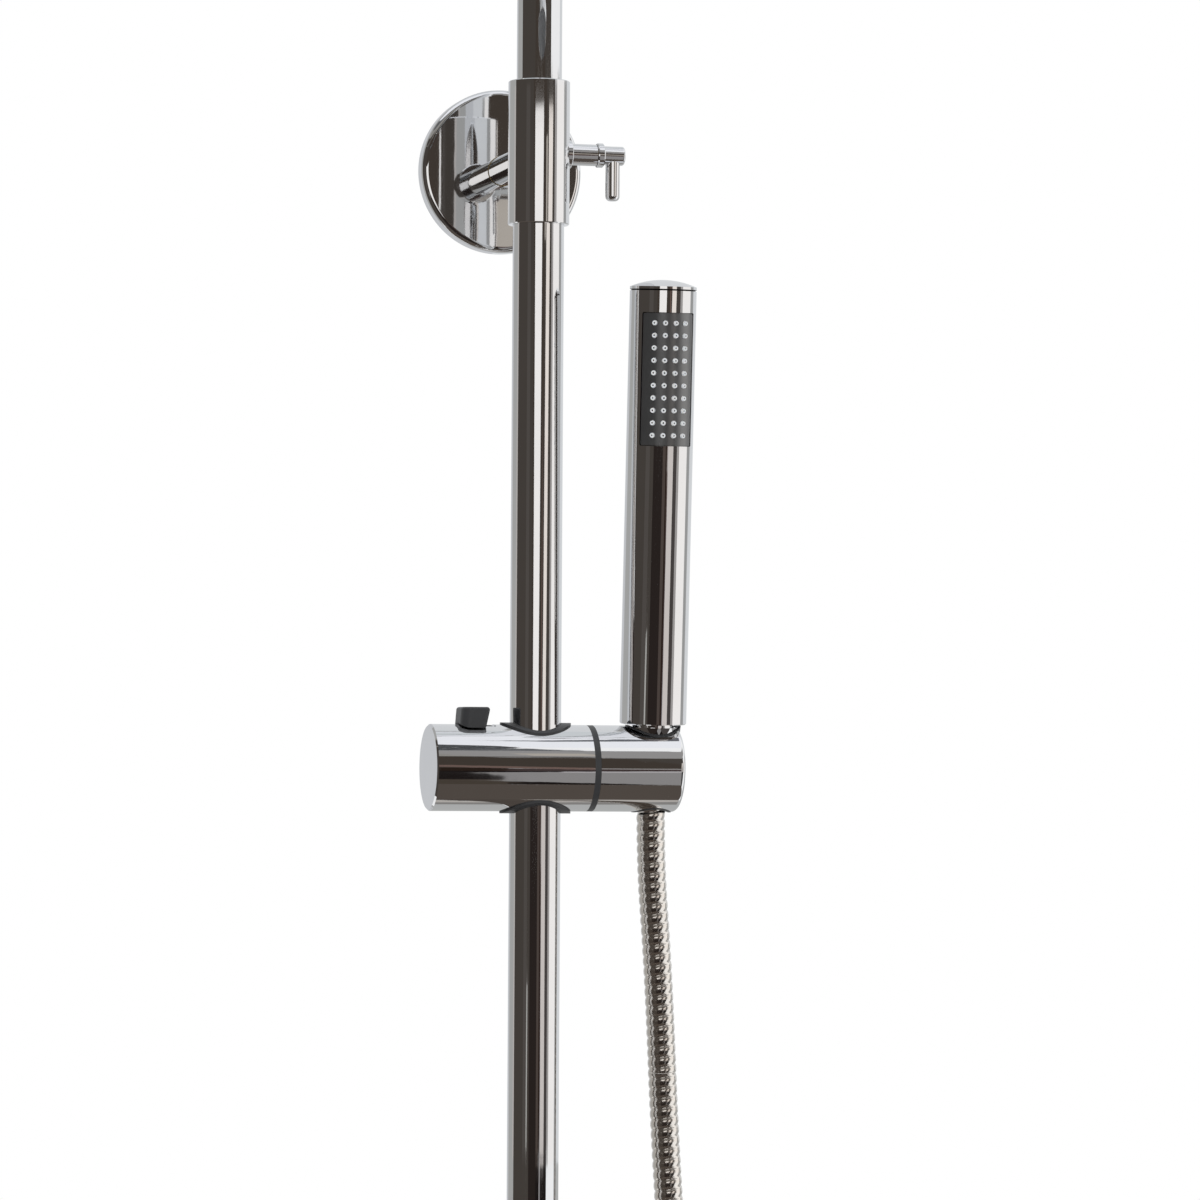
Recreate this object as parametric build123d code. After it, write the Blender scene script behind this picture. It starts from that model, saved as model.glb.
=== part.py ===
from build123d import *
import math
import os

# Shower column, in millimetres. The wall is the plane y = 0 and the column stands in front of it,
# at negative y. The origin is the middle of the upper water inlet, +X is to the right, +Z is up.

# Column: riser, diverter and the two wall arms
STANDOFF = 88.0            # wall to riser axis
RISER_D = 25.0
RISER_WALL = 1.2
ARM_PITCH = 749.0          # upper arm to lower arm
BODY_D = 30.0              # diverter body and lower body
DIVERTER_HALF = 35.0       # diverter body above and below the arm
LOWER_HALF = 22.0
SOCKET_DEPTH = 18.0        # tube inside a body
WATERWAY_D = 11.0
BODY_EDGE = 0.4            # chamfer on the ends of both bodies
ARM_D = 14.6
ARM_BORE = 9.0
ARM_SEAM = 41.5            # wall to the joint in the middle of an arm
SPIGOT_D = 11.8            # end of the wall half, inside the column half
SPIGOT_L = 8.0
NECK_RING_D = 20.0         # ring where an arm meets a body
NECK_RING_L = 7.0
ROSE_D = 82.0
ROSE_DEPTH = 10.0
ROSE_WALL = 1.2
ROSE_EDGE = 3.0            # rounded front edge
INLET_THREAD_D = 20.6
INLET_THREAD_L = 14.0
FITTING_FLANGE_D = 40.0
FITTING_FLANGE_T = 3.0
FITTING_BOSS_D = 24.0
PLATE_D = 60.0             # lower wall plate
PLATE_T = 4.0
PLATE_HOLE_D = 5.2
PLATE_HOLE_PITCH = 40.0
ARM_SEAT = 2.0             # an arm's end, behind the wall plane
GRUB_D = 4.0
SEAL_WIRE = 1.5            # rings that seal the tubes in their sockets

# Diverter spindle and its lever
SPINDLE_D = 12.8
SPINDLE_STEM_D = 6.0
SPINDLE_PORT_D = 8.0
GLAND_D = 13.8
GLAND_NECK_D = 10.5
GLAND_L = 28.5             # riser axis to the end of the gland
HUB_RING_D = 11.9
HUB_RING_L = 3.4
HUB_D = 9.2
HUB_END = 42.7             # riser axis to the end of the hub
LEVER_ROD_D = 7.0
LEVER_ROD_L = 22.2         # hub axis to the lever's tip
LEVER_ROD_X = 37.1

# Overhead arm and rain head
NECK_PIPE_D = 22.0
NECK_PIPE_WALL = 1.2
NECK_RISE = 170.0          # inlet axis to the start of the bow
NECK_BOW_R = 150.0
NECK_DROP = 20.0
BALL_D = 20.0
BALL_NECK_D = 9.0
CONNECTOR_D = 26.0
CONNECTOR_L = 18.0
CONNECTOR_FLOOR = 3.0
BALL_BORE = 5.0
BALL_BELOW = 14.0          # pipe end to the ball's centre
HEAD_NUT_D = 34.0
HEAD_NUT_TOP = 6.0         # ball centre to the nut's upper lip
HEAD_NUT_L = 19.0
HEAD_BOSS_D = 27.0
HEAD_BELOW = 26.0          # ball centre to the top of the disc
HEAD_D = 200.0
HEAD_RIM = 8.0
HEAD_CROWN = 4.0
HEAD_WALL = 1.6
HEAD_FACE_T = 2.5
HEAD_NOZZLE_RINGS = 4
HEAD_NOZZLE_STEP = 21.0

# Slider on the riser
SLIDER_BELOW = 299.0       # inlet axis to slider axis
SLIDER_D = 42.0
SLIDER_WALL = 3.0
SLIDER_LEFT = 53.0         # riser axis to the left end
SLIDER_RIGHT = 25.0        # riser axis to the swivel washer
CAP_T = 3.0
CAP_SPIGOT_L = 5.0
CAP_EDGE = 0.8
END_WALL = 6.0
BUSH_D = 27.4
BUSH_LIP = (34.8, 28.4)    # lip along the slider and across it
BUSH_LIP_T = 1.0
BUSH_GAP = 4.0             # slider axis to the inner end of a bush

# Brake that locks the slider, and its lever
PIVOT_LEFT = 27.0          # riser axis to the lever's pin
PIVOT_UP = 12.0
PIN_D = 3.0
LEVER_SLOT = (12.0, 13.0)  # along the slider, across it
STEM = (9.0, 12.0)
STEM_NECK = 3.0            # the stem's width where it enters the paddle
PADDLE_BASE = (-39.4, -28.0)   # paddle's sides, from the riser axis, at the lever's pin
PADDLE_CREST = (-38.0, -24.2)  # and at its top
PADDLE_W = 20.0
PADDLE_TOP = 29.3
PADDLE_RISE = 0.7          # paddle above the slider's skin
PADDLE_ROUND = (5.0, 1.8)  # its upright edges, left and right
PADDLE_EDGE = 1.4
LUG_T = 2.5
FORK_T = 2.4
NOSE_D = 5.0
SHOE = (11.0, 6.6)         # across the slider, upright
SHOE_L = 7.0
TAIL_D = 5.0
COLLAR_D = 13.0
COLLAR_T = 2.5
GUIDE_D = 11.0
GUIDE_L = 6.0
TAIL_END = 46.0            # riser axis to the end of the shoe's tail
SPRING_WIRE = 1.0
SPRING_D = 8.4
SPRING_TURNS = 3.5

# Holder for the handset
WASHER_T = 3.0
HOLDER_END = 70.5          # riser axis to the right end
HOLDER_EDGE = 2.5
HOLE_RIGHT = 58.5          # riser axis to the handset's axis
LEAN = 4.2                 # degrees that the handset leans out
BOLT_D = 8.0
BOLT_HEAD_D = 12.0
BOLT_HEAD_T = 2.6
BOLT_IN = 12.0             # bolt inside the holder
WAVE_T = 0.7
LINER_T = 1.1
LINER_PROUD = 0.3

# Cone nut and handset
NUT_TOP_D = 24.8
NUT_END_D = 18.4
NUT_TOP = 20.5             # holder axis to the nut's upper end
NUT_END = 14.0             # holder axis to the nut's lower end
NUT_SHOULDER = 6.0         # holder axis to the ledge that carries the ferrule
NUT_FLATS = 12
NUT_FLATS_AF = 24.2
NUT_FLATS_FROM = 13.0
HANDSET_D = 32.5
HANDSET_WALL = 2.2
HANDSET_START = 22.0       # holder axis to the handset's lower end
HANDSET_TOP = 232.6        # holder axis to the cap's seam
HANDSET_FLOOR = 5.0
HANDSET_THREAD_D = 20.4
HANDSET_INLET_D = 10.0
HANDSET_CAP_RIM = 2.0
HANDSET_CAP_DOME = 3.4
CAP_PLUG_L = 5.0
CAP_REVEAL = 0.6           # groove under the cap's rim
PANEL_LOW = 157.4
PANEL_HIGH = 222.0
PANEL_HALF_ANGLE = 52.0
PANEL_CORNER = 0.9
PANEL_SUNK = 0.4
PANEL_GAP = 0.35           # round the panel, in its opening
PANEL_T = 2.0
PANEL_FLANGE = 3.0         # hidden edge behind the opening
PANEL_FLANGE_T = 1.1
MAT_T = 1.1
NOZZLE_ROWS = 10
NOZZLE_ROW_STEP = 6.04
NOZZLE_COLUMNS = 4
NOZZLE_ANGLE_STEP = 18.9
NOZZLE_D = 2.6
NOZZLE_TIP_D = 2.1
NOZZLE_PROUD = 1.0
NOZZLE_HOLE_D = 0.9

# Hose
HOSE_D = 14.0
HOSE_WALL = 1.0
OUTLET_THREAD_L = 11.0
OUTLET_NUT_AF = 24.0
OUTLET_NUT_L = 17.0
SEAL_T = 1.5
FERRULE_FLANGE_D = 18.0
FERRULE_FLANGE_T = 1.8
FERRULE_BORE = 8.0

# Clearances
SLIP = 0.05                # turned fits
RUN = 0.08                 # riser in the slider's bushes
FREE = 0.3                 # moving beside something

# Worked out from the above
SLIDER_Z = -SLIDER_BELOW
LOWER_Z = -ARM_PITCH
SLIDER_R = SLIDER_D / 2
SLIDER_BORE = SLIDER_R - SLIDER_WALL
RISER_R = RISER_D / 2
BODY_R = BODY_D / 2
ARM_R = ARM_D / 2
HOLDER_START = SLIDER_RIGHT + WASHER_T
HANDSET_R = HANDSET_D / 2
BALL_Z = NECK_RISE - NECK_DROP - BALL_BELOW
BALL_Y = -STANDOFF - 2 * NECK_BOW_R
HEAD_TOP = BALL_Z - HEAD_BELOW
OUTLET_END = LOWER_Z - LOWER_HALF - OUTLET_THREAD_L
OUTLET_NUT_TOP = LOWER_Z - LOWER_HALF - 1.0
OUTLET_NUT_END = OUTLET_NUT_TOP - OUTLET_NUT_L

parts = {}


def upright(diameter, low, high, x=0.0, y=0.0):
    """A rod along Z between two heights."""
    return Pos(x, y, (low + high) / 2) * Cylinder(diameter / 2, high - low)


def level(diameter, left, right, y=0.0, z=0.0):
    """A rod along X between two places."""
    return Pos((left + right) / 2, y, z) * Rot(0, 90, 0) * Cylinder(diameter / 2, right - left)


def block(x, y, z):
    """A box between two places on each axis."""
    size = [high - low for low, high in (x, y, z)]
    middle = [(high + low) / 2 for low, high in (x, y, z)]
    return Pos(*middle) * Box(*size)


def turned(points):
    """A profile of radius and height pairs, turned about Z."""
    face = make_face(Polyline(*[(r, 0, z) for r, z in points], close=True))
    return revolve(face, Axis.Z)


def from_wall(shape, height=0.0):
    """Stands a shape that points along +Z out from the wall, at a height."""
    return Pos(0, 0, height) * Rot(90, 0, 0) * shape


def on_riser(shape, height=0.0):
    """Moves a shape made about the Z axis to the riser."""
    return Pos(0, -STANDOFF, height) * shape


def at_slider(shape):
    """Moves a shape made about the crossing of the riser and slider axes to its place."""
    return on_riser(shape, SLIDER_Z)


def at_holder(shape):
    """Leans a shape made about the handset's axis, and moves it to the holder."""
    return at_slider(Rot(LEAN, 0, 0) * Pos(HOLE_RIGHT, 0, 0) * shape)


# Wall roses: turned cups whose rims meet the wall
def rose():
    outer = upright(ROSE_D, 0, ROSE_DEPTH)
    outer = fillet(outer.edges().group_by(Axis.Z)[-1], ROSE_EDGE)
    inner = upright(ROSE_D - 2 * ROSE_WALL, 0, ROSE_DEPTH - ROSE_WALL)
    inner = fillet(inner.edges().group_by(Axis.Z)[-1], ROSE_EDGE - ROSE_WALL)
    return outer - inner - upright(ARM_D + 2 * FREE, 0, ROSE_DEPTH)


parts["upper_rose"] = from_wall(rose())
parts["lower_rose"] = from_wall(rose(), LOWER_Z)

# Wall fittings: the inlet's threaded fitting and the lower screwed plate, each with an arm socket
BOSS_END = ROSE_DEPTH - ROSE_WALL - FREE


def wall_boss(base):
    """A boss on a base of this thickness, with a hole below for its grub screw."""
    hole = Pos(0, -FITTING_BOSS_D / 2, (base + BOSS_END) / 2) * Rot(90, 0, 0)
    return upright(FITTING_BOSS_D, 0, BOSS_END) - hole * Cylinder(GRUB_D / 2 + SLIP, FITTING_BOSS_D)


def wall_grub(base):
    length = (FITTING_BOSS_D - ARM_D) / 2 - FREE
    middle = -ARM_R - FREE / 2 - length / 2
    return Pos(0, middle, (base + BOSS_END) / 2) * Rot(90, 0, 0) * Cylinder(GRUB_D / 2, length)


inlet = upright(INLET_THREAD_D, -INLET_THREAD_L, 0) + wall_boss(FITTING_FLANGE_T)
inlet += upright(FITTING_FLANGE_D, 0, FITTING_FLANGE_T)
inlet -= upright(ARM_D + 2 * SLIP, -ARM_SEAT, BOSS_END)
inlet -= upright(ARM_BORE, -INLET_THREAD_L, 0)
parts["wall_fitting"] = from_wall(inlet)

plate = upright(PLATE_D, 0, PLATE_T) + wall_boss(PLATE_T)
for side in (-1, 1):
    plate -= Pos(0, side * PLATE_HOLE_PITCH / 2, PLATE_T / 2) * Cylinder(PLATE_HOLE_D / 2, PLATE_T)
plate -= upright(ARM_D + 2 * SLIP, 0, BOSS_END)
parts["lower_wall_plate"] = from_wall(plate, LOWER_Z)

grubs = [from_wall(wall_grub(FITTING_FLANGE_T)), from_wall(wall_grub(PLATE_T), LOWER_Z)]
parts["wall_grub_screws"] = Compound(grubs)


# Arms: the wall half of each, with a spigot that enters the column half
def wall_arm(start):
    arm = upright(ARM_D, start, ARM_SEAM) + upright(SPIGOT_D, ARM_SEAM, ARM_SEAM + SPIGOT_L)
    return arm - upright(ARM_BORE, start, ARM_SEAM + SPIGOT_L)


parts["inlet_arm"] = from_wall(wall_arm(-ARM_SEAT))
parts["lower_arm"] = from_wall(wall_arm(0), LOWER_Z)

# Column bodies: a round body and the column half of its arm, cast as one
GRUB_Y = ARM_SEAM + SPIGOT_L / 2
GROOVE_H = SEAL_WIRE + 0.4


def neck_bores(depth):
    """The socket for the wall half's spigot, its grub screw hole and a bore to a depth from the wall."""
    bores = upright(SPIGOT_D + 2 * SLIP, ARM_SEAM, ARM_SEAM + SPIGOT_L)
    bores += Pos(0, -ARM_R, GRUB_Y) * Rot(90, 0, 0) * Cylinder(GRUB_D / 2 + SLIP, ARM_D - SPIGOT_D)
    return from_wall(bores + upright(ARM_BORE, ARM_SEAM, depth))


def column_body(half):
    rod = upright(BODY_D, -half, half)
    ends = rod.edges().group_by(Axis.Z)
    rod = chamfer(ends[0] + ends[-1], BODY_EDGE)
    ring = upright(NECK_RING_D, STANDOFF - BODY_R - NECK_RING_L, STANDOFF)
    ring = chamfer(ring.edges().group_by(Axis.Z)[0], BODY_EDGE)
    return on_riser(rod) + from_wall(ring + upright(ARM_D, ARM_SEAM, STANDOFF))


def tube_socket(diameter, low, high):
    """A socket between two heights, with a groove at its middle for a sealing ring."""
    middle = (low + high) / 2
    groove = upright(diameter + 2 * SEAL_WIRE, middle - GROOVE_H / 2, middle + GROOVE_H / 2)
    return on_riser(upright(diameter + 2 * SLIP, low, high) + groove)


def tube_seal(diameter, low, high):
    ring = Torus((diameter + SEAL_WIRE) / 2 + SLIP / 2, SEAL_WIRE / 2 - SLIP)
    return on_riser(ring, (low + high) / 2)


UPPER_SOCKET = (DIVERTER_HALF - SOCKET_DEPTH, DIVERTER_HALF)
RISER_SOCKET = (-DIVERTER_HALF, SOCKET_DEPTH - DIVERTER_HALF)
LOWER_SOCKET = (LOWER_HALF - SOCKET_DEPTH, LOWER_HALF)
GLAND_SEAT = BODY_R - 1.5
CHAMBER_LEFT = 5.0 - BODY_R

diverter = column_body(DIVERTER_HALF) - neck_bores(STANDOFF)
diverter -= tube_socket(RISER_D, *RISER_SOCKET)
diverter -= tube_socket(NECK_PIPE_D, *UPPER_SOCKET)
diverter -= on_riser(upright(WATERWAY_D, -DIVERTER_HALF, DIVERTER_HALF))
diverter -= on_riser(level(SPINDLE_D + 2 * SLIP, CHAMBER_LEFT, BODY_R))
diverter -= on_riser(level(GLAND_D + 2 * SLIP, GLAND_SEAT, BODY_R))
parts["diverter_body"] = diverter

lower = column_body(LOWER_HALF)
lower += on_riser(upright(INLET_THREAD_D, -LOWER_HALF - OUTLET_THREAD_L, -LOWER_HALF))
lower -= neck_bores(ARM_SEAM + SPIGOT_L)
lower -= tube_socket(RISER_D, *LOWER_SOCKET)
lower -= on_riser(upright(WATERWAY_D, -LOWER_HALF - OUTLET_THREAD_L, LOWER_HALF))
parts["lower_body"] = Pos(0, 0, LOWER_Z) * lower

grub_length = (ARM_D - SPIGOT_D) / 2 - 2 * SLIP
grub = Pos(0, -(ARM_D + SPIGOT_D) / 4, GRUB_Y) * Rot(90, 0, 0) * Cylinder(GRUB_D / 2, grub_length)
parts["arm_grub_screws"] = Compound([from_wall(grub), from_wall(grub, LOWER_Z)])

seals = [tube_seal(RISER_D, *RISER_SOCKET), Pos(0, 0, LOWER_Z) * tube_seal(RISER_D, *LOWER_SOCKET)]
parts["riser_seals"] = Compound(seals)
parts["overhead_pipe_seal"] = tube_seal(NECK_PIPE_D, *UPPER_SOCKET)

# Riser tube between the two bodies
riser_ends = (LOWER_Z + LOWER_SOCKET[0], RISER_SOCKET[1])
riser = upright(RISER_D, *riser_ends) - upright(RISER_D - 2 * RISER_WALL, *riser_ends)
parts["riser_tube"] = on_riser(riser)

# Diverter spindle, the gland that keeps it in and the lever that turns it
PLUG_END = GLAND_SEAT - FREE
STEM_END = HUB_END - 4.0
spindle = level(SPINDLE_D, CHAMBER_LEFT + FREE, PLUG_END) + level(SPINDLE_STEM_D, PLUG_END, STEM_END)
spindle -= upright(SPINDLE_PORT_D, -SPINDLE_D, 0)
spindle -= Rot(-90, 0, 0) * upright(SPINDLE_PORT_D, 0, SPINDLE_D)
parts["diverter_spindle"] = on_riser(spindle)

GLAND_FACE = BODY_R + 1.0
gland = level(GLAND_D, GLAND_SEAT, GLAND_FACE) + level(GLAND_NECK_D, GLAND_FACE, GLAND_L)
gland = fillet(gland.edges().filter_by(GeomType.CIRCLE).sort_by(Axis.X)[1], 0.6)
gland -= level(SPINDLE_STEM_D + 2 * SLIP, GLAND_SEAT, GLAND_L)
parts["spindle_gland"] = on_riser(gland)

HUB_START = GLAND_L + FREE
hub = level(HUB_D, HUB_START, HUB_END)
hub = fillet(hub.edges().group_by(Axis.X)[-1], HUB_D / 8)
ring = level(HUB_RING_D, HUB_START, HUB_START + HUB_RING_L)
ring = chamfer(ring.edges().group_by(Axis.X)[0] + ring.edges().group_by(Axis.X)[-1], 0.5)
rod = upright(LEVER_ROD_D, -LEVER_ROD_L, 0, LEVER_ROD_X)
rod = fillet(rod.edges().group_by(Axis.Z)[0], LEVER_ROD_D / 3)
lever_grub_hole = Pos(LEVER_ROD_X, HUB_D / 2, 0) * Rot(90, 0, 0)
lever = hub + ring + rod - level(SPINDLE_STEM_D + 2 * SLIP, HUB_START, STEM_END + FREE)
lever -= lever_grub_hole * Cylinder(GRUB_D / 2 + SLIP, HUB_D - SPINDLE_STEM_D)
parts["diverter_lever"] = on_riser(lever)

lever_grub_length = (HUB_D - SPINDLE_STEM_D) / 2 - FREE
lever_grub_y = (HUB_D + SPINDLE_STEM_D) / 4
lever_grub = Pos(LEVER_ROD_X, lever_grub_y, 0) * Rot(90, 0, 0)
parts["lever_grub_screw"] = on_riser(lever_grub * Cylinder(GRUB_D / 2, lever_grub_length))

# Overhead pipe: a straight rise, a half-turn bow towards the front and a short drop
section = Circle(NECK_PIPE_D / 2) - Circle(NECK_PIPE_D / 2 - NECK_PIPE_WALL)
bow_start = Pos(0, -STANDOFF, NECK_RISE) * section
bow_axis = Axis((0, -STANDOFF - NECK_BOW_R, NECK_RISE), (1, 0, 0))
pipe = revolve(bow_start, bow_axis, 180)
pipe += extrude(bow_start, UPPER_SOCKET[0] - NECK_RISE)
pipe += extrude(Pos(0, BALL_Y, NECK_RISE) * section, -NECK_DROP)
parts["overhead_pipe"] = pipe

# Ball connector on the pipe's end
PIPE_END = NECK_RISE - NECK_DROP
connector = upright(CONNECTOR_D, PIPE_END - CONNECTOR_FLOOR, PIPE_END + CONNECTOR_L)
ends = connector.edges().group_by(Axis.Z)
connector = chamfer(ends[0] + ends[-1], BODY_EDGE)
connector -= upright(NECK_PIPE_D + 2 * SLIP, PIPE_END, PIPE_END + CONNECTOR_L)
connector += upright(BALL_NECK_D, BALL_Z, PIPE_END - CONNECTOR_FLOOR)
connector += Pos(0, 0, BALL_Z) * Sphere(BALL_D / 2)
connector -= upright(BALL_BORE, BALL_Z - BALL_D, PIPE_END)
parts["head_connector"] = Pos(0, BALL_Y, 0) * connector

# Rain head: a pan with a ball seat, the nut that traps the ball, a face plate and its nozzles
HEAD_R = HEAD_D / 2
HEAD_LOW = HEAD_TOP - HEAD_CROWN - HEAD_RIM
HEAD_EDGE = 1.5
BOSS_TOP = BALL_Z - 1.0
ball_space = Pos(0, 0, BALL_Z) * Sphere(BALL_D / 2 + SLIP)
pan = turned(
    [
        (0, HEAD_TOP),
        (HEAD_BOSS_D / 2, HEAD_TOP),
        (HEAD_R - HEAD_EDGE, HEAD_TOP - HEAD_CROWN),
        (HEAD_R, HEAD_TOP - HEAD_CROWN - HEAD_EDGE),
        (HEAD_R, HEAD_LOW),
        (0, HEAD_LOW),
    ]
)
pan -= turned(
    [
        (0, HEAD_TOP - HEAD_WALL),
        (HEAD_BOSS_D / 2, HEAD_TOP - HEAD_WALL),
        (HEAD_R - HEAD_WALL, HEAD_TOP - HEAD_CROWN - HEAD_WALL),
        (HEAD_R - HEAD_WALL, HEAD_LOW),
        (0, HEAD_LOW),
    ]
)
pan += upright(HEAD_BOSS_D, HEAD_TOP - HEAD_WALL, BOSS_TOP)
pan -= ball_space + upright(BALL_NECK_D, HEAD_TOP - HEAD_WALL, BALL_Z)
parts["rain_pan"] = Pos(0, BALL_Y, 0) * pan

NUT_LIP = BALL_Z + HEAD_NUT_TOP
head_nut = upright(HEAD_NUT_D, NUT_LIP - HEAD_NUT_L, NUT_LIP)
ends = head_nut.edges().group_by(Axis.Z)
head_nut = chamfer(ends[0] + ends[-1], BODY_EDGE)
head_nut -= upright(HEAD_BOSS_D + 2 * SLIP, NUT_LIP - HEAD_NUT_L, BOSS_TOP + SLIP)
head_nut -= ball_space + upright(1.45 * BALL_NECK_D, BALL_Z, NUT_LIP)
parts["head_nut"] = Pos(0, BALL_Y, 0) * head_nut

face_d = HEAD_D - 2 * HEAD_WALL - 2 * SLIP
face = upright(face_d, HEAD_LOW, HEAD_LOW + HEAD_FACE_T)
spots = [(0.0, 0.0)]
for ring_index in range(1, HEAD_NOZZLE_RINGS + 1):
    count = 6 * ring_index
    for k in range(count):
        angle = 2 * math.pi * k / count
        reach = HEAD_NOZZLE_STEP * ring_index
        spots.append((reach * math.cos(angle), reach * math.sin(angle)))
parts["rain_face"] = Pos(0, BALL_Y, 0) * face

nub = turned([(0, 0), (NOZZLE_D, 0), (NOZZLE_TIP_D * 0.75, -1.6), (0, -1.6)])
parts["rain_nozzles"] = Compound([Pos(x, BALL_Y + y, HEAD_LOW) * nub for x, y in spots])

# Slider: a tube across the riser, open at its left end, with a wall at its right end
CAP_SEAM = -SLIDER_LEFT + CAP_T
CAVITY_END = SLIDER_RIGHT - END_WALL
PIVOT_X = -PIVOT_LEFT
slot_x = (PIVOT_X - LEVER_SLOT[0] / 2, PIVOT_X + LEVER_SLOT[0] / 2)
slot_y = LEVER_SLOT[1] / 2
slider = level(SLIDER_D, CAP_SEAM, SLIDER_RIGHT) - level(2 * SLIDER_BORE, CAP_SEAM, CAVITY_END)
slider -= upright(BUSH_D + 2 * SLIP, -SLIDER_D, SLIDER_D)
slider -= block(slot_x, (-slot_y, slot_y), (0, SLIDER_R))
slider -= level(BOLT_D + 2 * SLIP, CAVITY_END, SLIDER_RIGHT)
lug_x = (PIVOT_X - PIN_D - 1.0, PIVOT_X + PIN_D + 1.0)
inside = level(2 * SLIDER_BORE + SLIDER_WALL, CAP_SEAM, SLIDER_RIGHT)
for side in (-1, 1):
    lug_y = sorted((side * slot_y, side * (slot_y + LUG_T)))
    slider += block(lug_x, lug_y, (PIVOT_UP - PIN_D, SLIDER_R)) & inside
pin_line = Pos(PIVOT_X, 0, PIVOT_UP) * Rot(90, 0, 0)
slider -= pin_line * Cylinder(PIN_D / 2 + SLIP, 2 * (slot_y + LUG_T))
parts["slider_body"] = at_slider(slider)
parts["lever_pin"] = at_slider(pin_line * Cylinder(PIN_D / 2, 2 * (slot_y + LUG_T)))

cap = level(SLIDER_D, -SLIDER_LEFT, CAP_SEAM)
cap = chamfer(cap.edges().group_by(Axis.X)[0], CAP_EDGE)
skirt_d = 2 * (SLIDER_BORE - SLIP)
cap += level(skirt_d, CAP_SEAM, CAP_SEAM + CAP_SPIGOT_L)
cap -= level(skirt_d - 2 * SLIDER_WALL, CAP_SEAM, CAP_SEAM + CAP_SPIGOT_L)
cap += level(GUIDE_D, CAP_SEAM, CAP_SEAM + GUIDE_L)
cap -= level(TAIL_D + 2 * SLIP, CAP_SEAM, CAP_SEAM + GUIDE_L)
parts["slider_end_cap"] = at_slider(cap)


# Bushes that run on the riser, with saddle lips over the slider's skin
def bush():
    tube = upright(BUSH_D, BUSH_GAP, SLIDER_D) & level(SLIDER_D + 2 * BUSH_LIP_T, -SLIDER_D, SLIDER_D)
    lip = extrude(Ellipse(BUSH_LIP[0] / 2, BUSH_LIP[1] / 2), SLIDER_D)
    lip &= level(SLIDER_D + 2 * BUSH_LIP_T, -SLIDER_D, SLIDER_D)
    lip -= level(SLIDER_D + 2 * SLIP, -SLIDER_D, SLIDER_D)
    return tube + lip - upright(RISER_D + 2 * RUN, 0, SLIDER_D)


parts["upper_bush"] = at_slider(bush())
parts["lower_bush"] = at_slider(Rot(180, 0, 0) * bush())

# Brake shoe, with a tail that slides in the end cap and a collar that the lever's fork pulls
NOSE_X = PIVOT_X - 1.0
COLLAR_X = NOSE_X - NOSE_D / 2 - 2 * SLIP
shoe_x = (-RISER_R - SHOE_L, -RISER_R + SHOE[0] / 4)
shoe = block(shoe_x, (-SHOE[0] / 2, SHOE[0] / 2), (-SHOE[1] / 2, SHOE[1] / 2))
shoe -= upright(RISER_D + 4 * SLIP, -SLIDER_R, SLIDER_R)
shoe += level(TAIL_D, -TAIL_END, shoe_x[0]) + level(COLLAR_D, COLLAR_X - COLLAR_T, COLLAR_X)
parts["brake_shoe"] = at_slider(shoe)

SPRING_FROM = CAP_SEAM + GUIDE_L
spring_space = COLLAR_X - COLLAR_T - SPRING_FROM - SPRING_WIRE - 2 * SLIP
coil = Helix(spring_space / SPRING_TURNS, spring_space, SPRING_D / 2)
wire = Plane(origin=coil @ 0, z_dir=coil % 0) * Circle(SPRING_WIRE / 2)
spring = sweep(wire, path=coil, is_frenet=True)
parts["brake_spring"] = at_slider(Pos(SPRING_FROM + SPRING_WIRE / 2 + SLIP, 0, 0) * Rot(0, 90, 0) * spring)

# Lock lever: a paddle over the slider, a stem through its slot and a fork astride the shoe's tail
paddle_sides = [
    (PADDLE_BASE[0], PIVOT_UP),
    (PADDLE_CREST[0], PADDLE_TOP),
    (PADDLE_CREST[1], PADDLE_TOP),
    (PADDLE_BASE[1], PIVOT_UP),
]
paddle = extrude(Plane.XZ * make_face(Polyline(*paddle_sides, close=True)), PADDLE_W / 2, both=True)
uprights = [e for e in paddle.edges() if abs(e.tangent_at(0.5).Z) > 0.5]
paddle_mid = (PADDLE_BASE[0] + PADDLE_CREST[1]) / 2
paddle = fillet([e for e in uprights if e.center().X < paddle_mid], PADDLE_ROUND[0])
uprights = [e for e in paddle.edges() if abs(e.tangent_at(0.5).Z) > 0.5]
paddle = fillet(ShapeList(uprights).group_by(Axis.X)[-1], PADDLE_ROUND[1])
paddle = fillet(paddle.edges().group_by(Axis.Z)[-1], PADDLE_EDGE)
paddle -= level(SLIDER_D + 2 * PADDLE_RISE, -SLIDER_D, 0)
stem_x = (PIVOT_X - STEM[0] / 2, PIVOT_X + STEM[0] / 2)
stem_top = (SLIDER_R + PADDLE_TOP) / 2
stem = block(stem_x, (-STEM[1] / 2, STEM[1] / 2), (PIVOT_UP - PIN_D - 1.0, SLIDER_R))
lock = paddle + (stem & level(SLIDER_D - 2 * FREE, -SLIDER_D, 0))
lock += block((stem_x[0], stem_x[0] + STEM_NECK), (-STEM[1] / 2, STEM[1] / 2), (PIVOT_UP, stem_top))
fork_in = TAIL_D / 2 + 2 * FREE
for side in (-1, 1):
    fork_y = sorted((side * fork_in, side * (fork_in + FORK_T)))
    lock += block((NOSE_X - NOSE_D / 2, NOSE_X + NOSE_D / 2), fork_y, (0, PIVOT_UP))
    lock += Pos(NOSE_X, sum(fork_y) / 2, 0) * Rot(90, 0, 0) * Cylinder(NOSE_D / 2, FORK_T)
lock -= pin_line * Cylinder(PIN_D / 2 + SLIP, SLIDER_D)
parts["lock_lever"] = at_slider(lock)

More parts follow.
